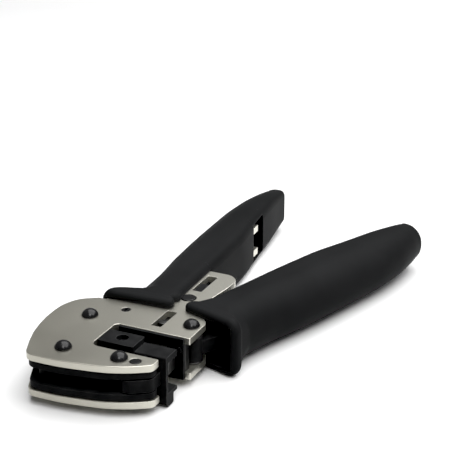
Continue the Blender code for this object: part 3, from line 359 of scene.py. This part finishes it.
def without_midpoints(ring):
    """Drop points that lie on a straight stretch."""
    kept = []
    for before, point, after in zip(ring[-1:] + ring[:-1], ring, ring[1:] + ring[:1]):
        if abs((point - before).angle_signed(after - point, 0.0)) > STRAIGHT_TURN:
            kept.append(point)
    return kept


def between(start, end, leave, arrive, t):
    """Cubic from start to end with the given slopes at both, at share t of the way."""
    return (start * (2 * t ** 3 - 3 * t ** 2 + 1) + end * (3 * t ** 2 - 2 * t ** 3)
            + leave * (t ** 3 - 2 * t ** 2 + t) + arrive * (t ** 3 - t ** 2))


def finer(ring):
    """Redraw a loop's faceted arcs as smooth curves; straight stretches and true corners stay."""
    ring = without_midpoints(ring)
    count = len(ring)
    steps = [ring[(i + 1) % count] - ring[i] for i in range(count)]
    ahead, behind = [], []
    for i in range(count):
        before, after = steps[i - 1], steps[i]
        if abs(before.angle_signed(after)) > SMOOTH_TURN:
            ahead.append(after.normalized())
            behind.append(before.normalized())
            continue
        if before.length > STRAIGHT_RATIO * after.length:
            tangent = before
        elif after.length > STRAIGHT_RATIO * before.length:
            tangent = after
        else:
            tangent = before.normalized() * after.length + after.normalized() * before.length
        ahead.append(tangent.normalized())
        behind.append(tangent.normalized())
    points = []
    for i in range(count):
        start, end, chord = ring[i], ring[(i + 1) % count], steps[i]
        leave, arrive = ahead[i], behind[(i + 1) % count]
        turn = abs(leave.angle_signed(chord)) + abs(chord.angle_signed(arrive))
        pieces = max(1, ceil(turn / CURVE_STEP))
        reach = chord.length
        points += [between(start, end, leave * reach, arrive * reach, k / pieces) for k in range(pieces)]
    return points


def inset(ring, distance):
    """Move a loop into its material by distance: material lies to the left of the loop.

    A point where the loop nearly turns back on itself stays where it is.
    """
    moved = []
    for before, point, after in zip(ring[-1:] + ring[:-1], ring, ring[1:] + ring[:1]):
        first, second = (point - before).normalized(), (after - point).normalized()
        normal = Vector((-first.y - second.y, first.x + second.x))
        square = normal.length_squared
        moved.append(point + normal * (2 * distance / square) if square > FOLDED_BACK else point)
    return moved


def edge_profile(low, high, edge, segments=4):
    """(inset, level) pairs up a plate's edge, with a quarter round at both faces."""
    profile = []
    for k in range(segments + 1):
        turn = pi / 2 * k / segments
        profile.append((edge * (1 - sin(turn)), low + edge * (1 - cos(turn))))
    return profile + [(back, high + low - level) for back, level in reversed(profile)]


def bevelled_prism(loops, low, high, edge):
    """A plate with rounded edges all round: loops[0] is the outline, the others are holes."""
    bm = bmesh.new()
    bottom, top = [], []
    for ring in loops:
        rows = []
        for back, level in edge_profile(low, high, edge if ring is loops[0] else HOLE_EDGE):
            rows.append([bm.verts.new((point.x, point.y, level)) for point in inset(ring, back)])
        for lower, upper in zip(rows, rows[1:]):
            for i in range(len(lower)):
                bm.faces.new((lower[i - 1], lower[i], upper[i], upper[i - 1]))
        bottom += [bm.edges.get((rows[0][i - 1], rows[0][i])) for i in range(len(ring))]
        top += [bm.edges.get((rows[-1][i - 1], rows[-1][i])) for i in range(len(ring))]
    for edges in (bottom, top):
        bmesh.ops.triangle_fill(bm, use_beauty=True, edges=edges)
    return bm


def redraw_plate(name, node, edge):
    """Replace a CAD plate by one of the same outline with smooth arcs and rounded edges."""
    low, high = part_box(node)
    loops = [finer(ring) for ring in flat_loops(node, high.z)]
    loops.sort(key=lambda ring: -abs(area(ring)))
    loops = [ring if (area(ring) > 0) == (i == 0) else ring[::-1] for i, ring in enumerate(loops)]
    bm = bevelled_prism(loops, low.z, high.z, edge)
    weighted(add_piece(name, bm, SLOT_OF[node], BODY_OF[node], [node]))


# ---------------------------------------------------------------- round pieces

ROUND = 48
ON_AXIS = 1e-7


def middle(node):
    low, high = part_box(node)
    return (low + high) / 2


def turned(profile, centre):
    """Solid of revolution about Z through centre; its (radius, z) points begin and end on the axis."""
    bm = bmesh.new()
    turns = [2 * pi * i / ROUND for i in range(ROUND)]
    rings = []
    for radius, z in profile:
        if radius < ON_AXIS:
            rings.append([bm.verts.new((centre.x, centre.y, z))])
            continue
        rings.append([bm.verts.new((centre.x + radius * cos(turn), centre.y + radius * sin(turn), z))
                      for turn in turns])
    for lower, upper in zip(rings, rings[1:]):
        for i in range(ROUND):
            j = (i + 1) % ROUND
            corners = [ring[k % len(ring)] for ring, k in ((lower, i), (lower, j), (upper, j), (upper, i))]
            bm.faces.new(list(dict.fromkeys(corners)))
    return bm


def both_ends(upper):
    """A profile from the mid plane up, mirrored below it."""
    return [(radius, -z) for radius, z in reversed(upper)] + upper


def turned_piece(name, node, upper):
    """A turned piece in a node's place, from its profile above the mid plane."""
    bm = turned(both_ends(upper), middle(node))
    return add_piece(name, bm, SLOT_OF[node], BODY_OF[node], [node])


def rounded_corner(radius, top, edge, steps=5):
    """Profile of a cylinder's top edge, rounded by edge and closed on the axis."""
    arc = [(radius - edge * (1 - cos(pi / 2 * k / steps)), top - edge * (1 - sin(pi / 2 * k / steps)))
           for k in range(steps + 1)]
    return arc + [(0.0, top)]


def dome_rivet(node, shank):
    """Domed black rivet on both faces, with a small flat rim under each dome."""
    low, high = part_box(node)
    radius = (high.x - low.x) / 2
    seat = 0.04 * MM
    rim = 0.45 * MM
    chamfer = 0.1 * MM
    base = CHEEK_FACE + seat
    rise = high.z - base - rim
    sphere = (radius ** 2 + rise ** 2) / (2 * rise)
    centre_z = high.z - sphere
    steps = 14
    upper = [(shank, base), (radius - chamfer, base), (radius, base + 1.2 * chamfer)]
    for k in range(steps + 1):
        z = base + rim + rise * sin(pi / 2 * k / steps)
        reach = sphere ** 2 - (z - centre_z) ** 2
        upper.append((sqrt(max(reach, 0.0)), z))
    upper[-1] = (0.0, high.z)
    piece = turned_piece(f"{node}_domed", node, upper)
    round_edges(piece, 0.06 * MM, 2, 50)


def plain_pin(node, edge):
    """Cylindrical pin with rounded ends, as long and as wide as its CAD node."""
    low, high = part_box(node)
    radius = (high.x - low.x) / 2
    weighted(turned_piece(f"{node}_turned", node, rounded_corner(radius, high.z, edge)))


def pawl_disc():
    """Pawl pin: a shank between two low disc heads that lie in the cheeks' round holes."""
    low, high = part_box("pawl_pin")
    radius = (high.x - low.x) / 2
    shank = 2.2 * MM
    chamfer = 0.15 * MM
    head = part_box("cheek_top")[0].z + 0.3 * MM
    upper = [(shank, head), (radius - chamfer, head), (radius, head + chamfer)]
    upper += rounded_corner(radius, high.z, 0.35 * MM)
    weighted(turned_piece("pawl_pin_disc", "pawl_pin", upper))


# ---------------------------------------------------------------- springs

def coil(centre, radius, wire, start, end, turns, sides=12, per_turn=28):
    """A spring wound about Y, with its last turns closing up to flat ends."""
    bm = bmesh.new()
    steps = round(turns * per_turn)
    closed = 0.9
    points = []
    for step in range(steps + 1):
        t = step / steps
        angle = 2 * pi * turns * t
        climb = start + (end - start) * (t - closed * sin(2 * pi * t) / (2 * pi))
        points.append(centre + Vector((radius * cos(angle), climb, radius * sin(angle))))
    rounds = [2 * pi * k / sides for k in range(sides)]
    rings = []
    for index, point in enumerate(points):
        ahead = points[min(index + 1, steps)]
        behind = points[max(index - 1, 0)]
        direction = (ahead - behind).normalized()
        side = direction.cross(Vector((0, 1, 0))).normalized()
        up = side.cross(direction)
        rings.append([bm.verts.new(point + wire * (side * cos(turn) + up * sin(turn))) for turn in rounds])
    for lower, upper in zip(rings, rings[1:]):
        for k in range(sides):
            bm.faces.new((lower[k - 1], lower[k], upper[k], upper[k - 1]))
    bm.faces.new(rings[0])
    bm.faces.new(rings[-1])
    return bm


def return_spring():
    """Drawn at its open length up to the ram's finger."""
    low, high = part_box("return_spring")
    wire = 0.4 * MM
    turns = 5
    travel = JOINTS["ram_slide"]["range_m"][1]
    centre = Vector(((low.x + high.x) / 2, 0.0, (low.z + high.z) / 2))
    radius = (high.x - low.x) / 2 - wire
    top = high.y + travel
    bm = coil(centre, radius, wire, low.y + wire, top - wire, turns)
    spring = add_piece("return_spring_coil", bm, "spring_steel", "frame", ["return_spring"])
    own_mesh(spring)


# ---------------------------------------------------------------- handles

# millimetres: along the handle, inset of the guard's ends, half height, reach of the outer rounding
GUARD_STATIONS = [
    (0.0, 2.2, 10.9, 4.6),
    (0.25, 1.45, 11.45, 4.8),
    (0.7, 0.75, 11.95, 5.0),
    (1.4, 0.2, 12.35, 5.2),
    (2.4, 0.0, 12.5, 5.2),
    (3.6, 0.05, 12.5, 5.3),
    (4.8, 0.6, 12.45, 5.8),
    (5.9, 1.8, 12.4, 6.8),
]
# millimetres: along the handle, inner face, outer face, half height, reach of the outer rounding
GRIP_STATIONS = [
    (8.6, -2.4, 20.6, 12.45, 9.0),
    (14.0, -1.8, 19.8, 12.45, 12.0),
    (28.0, -1.9, 19.9, 12.45, 12.5),
    (50.0, -2.2, 21.5, 12.45, 13.0),
    (75.0, -1.9, 22.2, 12.4, 13.5),
    (100.0, 0.3, 22.2, 12.0, 13.5),
    (118.0, 1.6, 20.9, 11.3, 12.5),
    (132.0, 2.9, 18.2, 10.1, 10.5),
    (140.0, 3.5, 15.8, 8.8, 8.2),
]
GRIP_START = 14.0
TIP_ROUNDING = 3.9 * MM
TIP_SHARPNESS = 0.56
TIP_DRIFT = 0.25
INNER_SHARE = 0.34
INNER_LIMIT = 0.4
OUTER_LIMIT = 0.75
SIDE_FLAT = 0.4 * MM
FACE_FLAT = 0.1 * MM
WINDOW = (94.6 * MM, 109.9 * MM)
WINDOW_FLOOR = 9.0 * MM
STRADDLE_HALF = CHEEK_FACE + 0.35 * MM

FIXED_GRIP = {
    "root": PIVOT + Vector((-16.4 * MM, 9.2 * MM, 0)), "angle": radians(-2.3), "side": -1,
    "guard": (-2.4 * MM, 29.2 * MM), "stretch": 1.038, "straddle": 13.9 * MM, "straddle_end": 42.0 * MM,
}
MOVING_GRIP = {
    "root": PIVOT + Vector((-4.7 * MM, 9.2 * MM, 0)), "angle": radians(17.1), "side": 1,
    "guard": (-4.6 * MM, 23.2 * MM), "stretch": 0.972, "straddle": 7.8 * MM, "straddle_end": 46.0 * MM,
}
GUARD_WALL = 2.35 * MM
GUARD_ROOM_END = (3.2 * MM, 9.6 * MM)
GUARD_ROOM_INNER = 14.1 * MM
STRADDLE_START = 13.0 * MM
SECTIONS = 120
GUARD_SECTIONS = 24
WALL_STEP = 0.001 * MM
WALL_CLEAR = 0.35 * MM


def grip_stations(grip):
    """(along, inner, outer, half, reach) of one handle, from the guard's front to the grip's end."""
    inner, outer = grip["guard"]
    stations = [(along * MM, inner + inset * MM, outer - inset * MM, half * MM, reach * MM)
                for along, inset, half, reach in GUARD_STATIONS]
    for along, inner, outer, half, reach in GRIP_STATIONS:
        stretched = GRIP_START + (along - GRIP_START) * grip["stretch"] if along > GRIP_START else along
        stations.append((stretched * MM, inner * MM, outer * MM, half * MM, reach * MM))
    return stations


def slope(rows, index, column):
    """Slope of a column at a station, flat where the column turns round."""
    if index == 0:
        return 0.0
    before = (rows[index][column] - rows[index - 1][column]) / (rows[index][0] - rows[index - 1][0])
    if index == len(rows) - 1:
        return before
    after = (rows[index + 1][column] - rows[index][column]) / (rows[index + 1][0] - rows[index][0])
    return 0.0 if before * after <= 0 else 2 * before * after / (before + after)


def smooth_through(rows, along):
    """All station values at a place along the grip, by a monotone cubic through the stations."""
    index = max((i for i in range(len(rows) - 1) if rows[i][0] <= along), default=0)
    left, right = rows[index], rows[index + 1]
    width = right[0] - left[0]
    t = min(max((along - left[0]) / width, 0.0), 1.0)
    values = []
    for column in range(1, len(left)):
        leave, arrive = slope(rows, index, column), slope(rows, index + 1, column)
        values.append(between(left[column], right[column], leave * width, arrive * width, t))
    return values


def grip_section(inner, outer, half, reach, floor, lip):
    """Closed (outward, z) loop of a grip: rounded outer side, flat inner face, and a notch to floor.

    A notch's mouth may be wider than the flat: then the rounding beside it ends at the mouth.
    """
    corner = min(INNER_SHARE * reach, INNER_LIMIT * half)
    flat = half - corner
    notched = floor > inner
    last_turn = pi - asin(min(max(lip - flat, 0.0) / corner, 1.0)) if notched else pi
    wide = min(reach, OUTER_LIMIT * (outer - inner))
    tall = min(reach, half - SIDE_FLAT)
    fine, coarse, across = 14, 5, 4
    upper = []
    for k in range(fine + 1):
        turn = pi / 2 * k / fine
        upper.append((outer - wide + wide * cos(turn), half - tall + tall * sin(turn)))
    start, end = outer - wide, inner + corner
    upper += [(start + (end - start) * k / across, half) for k in range(1, across)]
    for k in range(coarse + 1):
        turn = pi / 2 + (last_turn - pi / 2) * k / coarse
        upper.append((inner + corner + corner * cos(turn), flat + corner * sin(turn)))
    edge = upper[-1][0]
    mouth = lip if notched else min(lip, flat - FACE_FLAT)
    upper.append((edge, mouth))
    upper += [(edge + (floor - edge) * k / across, mouth) for k in range(1, across + 1)]
    upper += [(floor, mouth * (1 - k / across)) for k in range(1, across)]
    lower = [(u, -z) for u, z in reversed(upper)]
    return upper + [(floor, 0.0)] + lower


def notch_floor(grip, along, inner):
    """Depth of the hollow at a place along the grip: guard room, straddle over the neck, or window."""
    near, far = GUARD_ROOM_END
    room = grip["guard"][1] - GUARD_WALL
    if along <= near:
        return room
    if along <= far:
        return room + (GUARD_ROOM_INNER - room) * (along - near) / (far - near)
    if along <= STRADDLE_START:
        return GUARD_ROOM_INNER
    if along <= grip["straddle_end"]:
        return grip["straddle"]
    if WINDOW[0] <= along <= WINDOW[1]:
        return WINDOW_FLOOR
    return inner


def grip_places(grip, end):
    """Places along the grip for its sections; each end of a hollow comes twice, just before and after."""
    guard_end = GUARD_STATIONS[-1][0] * MM
    places = [end * (k / SECTIONS) for k in range(SECTIONS + 1)]
    places += [guard_end * (k / GUARD_SECTIONS) for k in range(GUARD_SECTIONS + 1)]
    for wall in (STRADDLE_START, grip["straddle_end"], WINDOW[0] - WALL_STEP, WINDOW[1]):
        places = [place for place in places if abs(place - wall) > WALL_CLEAR]
        places += [wall, wall + WALL_STEP]
    places = sorted(places)
    return [place for before, place in zip([-MM] + places, places) if place - before > 0.5 * WALL_STEP]


def tip_sections(section, centre, end, drift):
    """(along, section) pairs that close the grip's end with a rounding, smaller towards its end."""
    steps = 14
    for k in range(1, steps):
        turn = pi / 2 * k / steps
        shrink = cos(turn) ** TIP_SHARPNESS
        shift = drift * TIP_ROUNDING * sin(turn)
        yield end + TIP_ROUNDING * sin(turn), [(centre + shift + (u - centre) * shrink, z * shrink)
                                               for u, z in section]


def grip_mesh(grip):
    """One handle's moulding: sections along the grip from the guard's front to the rounded tip."""
    side, angle, root = grip["side"], grip["angle"], grip["root"]
    forward = Vector((sin(angle), cos(angle), 0))
    outward = Vector((side * cos(angle), -side * sin(angle), 0))
    stations = grip_stations(grip)
    end = stations[-1][0]
    sections = []
    for along in grip_places(grip, end):
        inner, outer, half, reach = smooth_through(stations, along)
        floor = notch_floor(grip, along, inner)
        sections.append((along, grip_section(inner, outer, half, reach, floor, STRADDLE_HALF)))
    inner, outer, half, reach = smooth_through(stations, end)
    centre = (inner + outer) / 2
    drift = TIP_DRIFT * slope(stations, len(stations) - 1, 2)
    tip_section = grip_section(inner, outer, half, reach, inner, STRADDLE_HALF)
    sections += tip_sections(tip_section, centre, end, drift)
    bm = bmesh.new()
    rings = [[bm.verts.new(root + forward * along + outward * u + Vector((0, 0, z))) for u, z in section]
             for along, section in sections]
    for lower, upper in zip(rings, rings[1:]):
        for i in range(len(lower)):
            bm.faces.new((lower[i - 1], lower[i], upper[i], upper[i - 1]))
    last = rings[-1]
    tip = bm.verts.new(root + forward * (end + TIP_ROUNDING) + outward * (centre + drift * TIP_ROUNDING))
    for i in range(len(last)):
        bm.faces.new((last[i - 1], last[i], tip))
    bm.faces.new(rings[0])
    bmesh.ops.remove_doubles(bm, verts=bm.verts, dist=2 * WALL_STEP)
    bmesh.ops.dissolve_degenerate(bm, edges=bm.edges, dist=2 * WALL_STEP)
    return bm


def handles():
    for node, grip in (("fixed_handle", FIXED_GRIP), ("moving_handle", MOVING_GRIP)):
        piece = add_piece(f"{node}_moulding", grip_mesh(grip), SLOT_OF[node], BODY_OF[node], [node])
        round_edges(piece, 0.45 * MM, 3, 40)


# ---------------------------------------------------------------- the tool

def plates():
    for node in ("cheek_top", "cheek_bottom"):
        redraw_plate(f"{node}_plate", node, edge=0.3 * MM)
    for node in ("inner_plate_top", "inner_plate_bottom", "head_spacer", "pawl",
                 "pivot_washer_top", "pivot_washer_bottom"):
        redraw_plate(f"{node}_finished", node, edge=0.2 * MM)


def pins():
    shank = 2.0 * MM
    for node in ("rivet_nose_left", "rivet_head_left", "rivet_anvil", "lever_pivot_pin"):
        dome_rivet(node, shank)
    plain_pin("nest_pin", 0.25 * MM)
    plain_pin("ram_pin", 0.4 * MM)
    plain_pin("tang_rivet_1", 0.3 * MM)
    plain_pin("tang_rivet_2", 0.3 * MM)
    pawl_disc()


def carried_over():
    """CAD nodes whose own shape is right: they keep it, with edges rounded by so many millimetres."""
    widths = {
        "anvil_block": 0.30, "anvil_screw": 0.12, "plug_nest": 0.18, "nest_dowel": 0.12, "ram": 0.2,
        "die_plate": 0.15, "die_screw_left": 0.12, "die_screw_right": 0.12, "contact_punch": 0.1,
        "strain_punch": 0.12, "lever": 0.25, "ratchet_rack": 0.1, "rack_rivet_1": 0.08,
        "rack_rivet_2": 0.08, "pawl_spring": 0.02, "pawl_spring_post": 0.08, "release_slide": 0.25,
        "depth_adjuster": 0.1, "tang_spacer": 0.2,
    }
    for node, width in widths.items():
        carry_over(node, width * MM)


# ---------------------------------------------------------------- studio

FLOOR_FILL = 0.25
SKY_FILL = 0.4
SKY_AT_HORIZON = 0.16
SKY_OVERHEAD = 0.45
SKY_TOP = 0.9
BLACK_POINT = 0.007


def studio_floor():
    """Plain pale floor just under the lowest point of the tool; it throws little light back up."""
    size = 3.0
    clearance = 0.05 * MM
    bm = bmesh.new()
    bmesh.ops.create_grid(bm, x_segments=1, y_segments=1, size=size)
    mesh = bpy.data.meshes.new("studio_floor")
    bm.to_mesh(mesh)
    bm.free()
    floor = bpy.data.objects.new("studio_floor", mesh)
    floor.location = (0, 0, CAD_BOX[0].z - clearance)
    shader = Shader("pale_floor")
    tone = shader.spread(shader.noise(400 * MM, 2), 0, 1)
    pale = shader.mix(tone, (0.93, 0.93, 0.93), (0.95, 0.95, 0.95))
    rays = shader.add("ShaderNodeLightPath")
    colour = shader.mix(rays.outputs["Is Diffuse Ray"], pale, (FLOOR_FILL, FLOOR_FILL, FLOOR_FILL))
    shader.set(Base_Color=colour, Roughness=0.75)
    mesh.materials.append(shader.material)
    bpy.context.collection.objects.link(floor)


def area_light(name, offset, size, power):
    """A soft box that faces the tool's middle from the given offset."""
    target = (CAD_BOX[0] + CAD_BOX[1]) / 2
    place = target + Vector(offset)
    light = bpy.data.lights.new(name, "AREA")
    light.shape = "RECTANGLE"
    light.size, light.size_y = size
    light.energy = power
    lamp = bpy.data.objects.new(name, light)
    lamp.location = place
    lamp.rotation_euler = (target - place).to_track_quat("-Z", "Y").to_euler()
    bpy.context.collection.objects.link(lamp)


def lights():
    """A wide soft box overhead for nearly all the light, and a small one for the domes' highlights."""
    area_light("overhead_softbox", (0.22, 0.16, 0.9), (1.5, 1.25), 20)
    area_light("front_softbox", (0.30, -0.62, 0.75), (0.3, 0.3), 1.8)


def surroundings():
    """White to the camera; to reflections pale overhead and darker at the horizon; as a fill it is dim."""
    world = bpy.data.worlds.new("studio")
    bpy.context.scene.world = world
    world.use_nodes = True
    tree = world.node_tree
    tree.nodes.clear()
    link = tree.links.new
    place = tree.nodes.new("ShaderNodeTexCoord")
    height = tree.nodes.new("ShaderNodeSeparateXYZ")
    link(place.outputs["Generated"], height.inputs["Vector"])
    sky = tree.nodes.new("ShaderNodeMapRange")
    sky.inputs["From Max"].default_value = SKY_TOP
    sky.inputs["To Min"].default_value = SKY_AT_HORIZON
    sky.inputs["To Max"].default_value = SKY_OVERHEAD
    link(height.outputs["Z"], sky.inputs["Value"])
    rays = tree.nodes.new("ShaderNodeLightPath")
    fill = tree.nodes.new("ShaderNodeMapRange")
    fill.inputs["To Min"].default_value = 1.0
    fill.inputs["To Max"].default_value = SKY_FILL
    link(rays.outputs["Is Diffuse Ray"], fill.inputs["Value"])
    strength = tree.nodes.new("ShaderNodeMath")
    strength.operation = "MULTIPLY"
    link(sky.outputs["Result"], strength.inputs[0])
    link(fill.outputs["Result"], strength.inputs[1])
    soft = tree.nodes.new("ShaderNodeBackground")
    link(strength.outputs["Value"], soft.inputs["Strength"])
    white = tree.nodes.new("ShaderNodeBackground")
    white.inputs["Color"].default_value = (1, 1, 1, 1)
    choose = tree.nodes.new("ShaderNodeMixShader")
    link(rays.outputs["Is Camera Ray"], choose.inputs["Fac"])
    link(soft.outputs["Background"], choose.inputs[1])
    link(white.outputs["Background"], choose.inputs[2])
    output = tree.nodes.new("ShaderNodeOutputWorld")
    link(choose.outputs["Shader"], output.inputs["Surface"])


def camera():
    """Long lens from the right front, a little above: the tool lies with its nose to the lower left."""
    low, high = CAD_BOX
    azimuth, elevation = radians(25.2), radians(22.06)
    aim_across, aim_along = 0.1302, 0.8194
    lengths_away = 3.181
    aim = Vector((low.x + aim_across * (high.x - low.x), low.y + aim_along * (high.y - low.y), 0.0))
    distance = lengths_away * (high.y - low.y)
    forward = Vector((-sin(azimuth) * cos(elevation), cos(azimuth) * cos(elevation), -sin(elevation)))
    lens = bpy.data.cameras.new("camera")
    lens.lens = 108.5
    lens.sensor_width = 36.0
    lens.clip_start = 0.05
    lens.clip_end = 20.0
    view = bpy.data.objects.new("camera", lens)
    view.location = aim - forward * distance
    view.rotation_euler = forward.to_track_quat("-Z", "Y").to_euler()
    bpy.context.collection.objects.link(view)
    bpy.context.scene.camera = view


def look_settings():
    settings = bpy.context.scene.view_settings
    settings.view_transform = "Standard"
    settings.look = "None"
    settings.exposure = 0.0
    settings.use_curve_mapping = True
    settings.curve_mapping.black_level = (BLACK_POINT, BLACK_POINT, BLACK_POINT)
    settings.curve_mapping.update()


plates()
pins()
carried_over()
return_spring()
handles()
studio_floor()
lights()
surroundings()
camera()
look_settings()
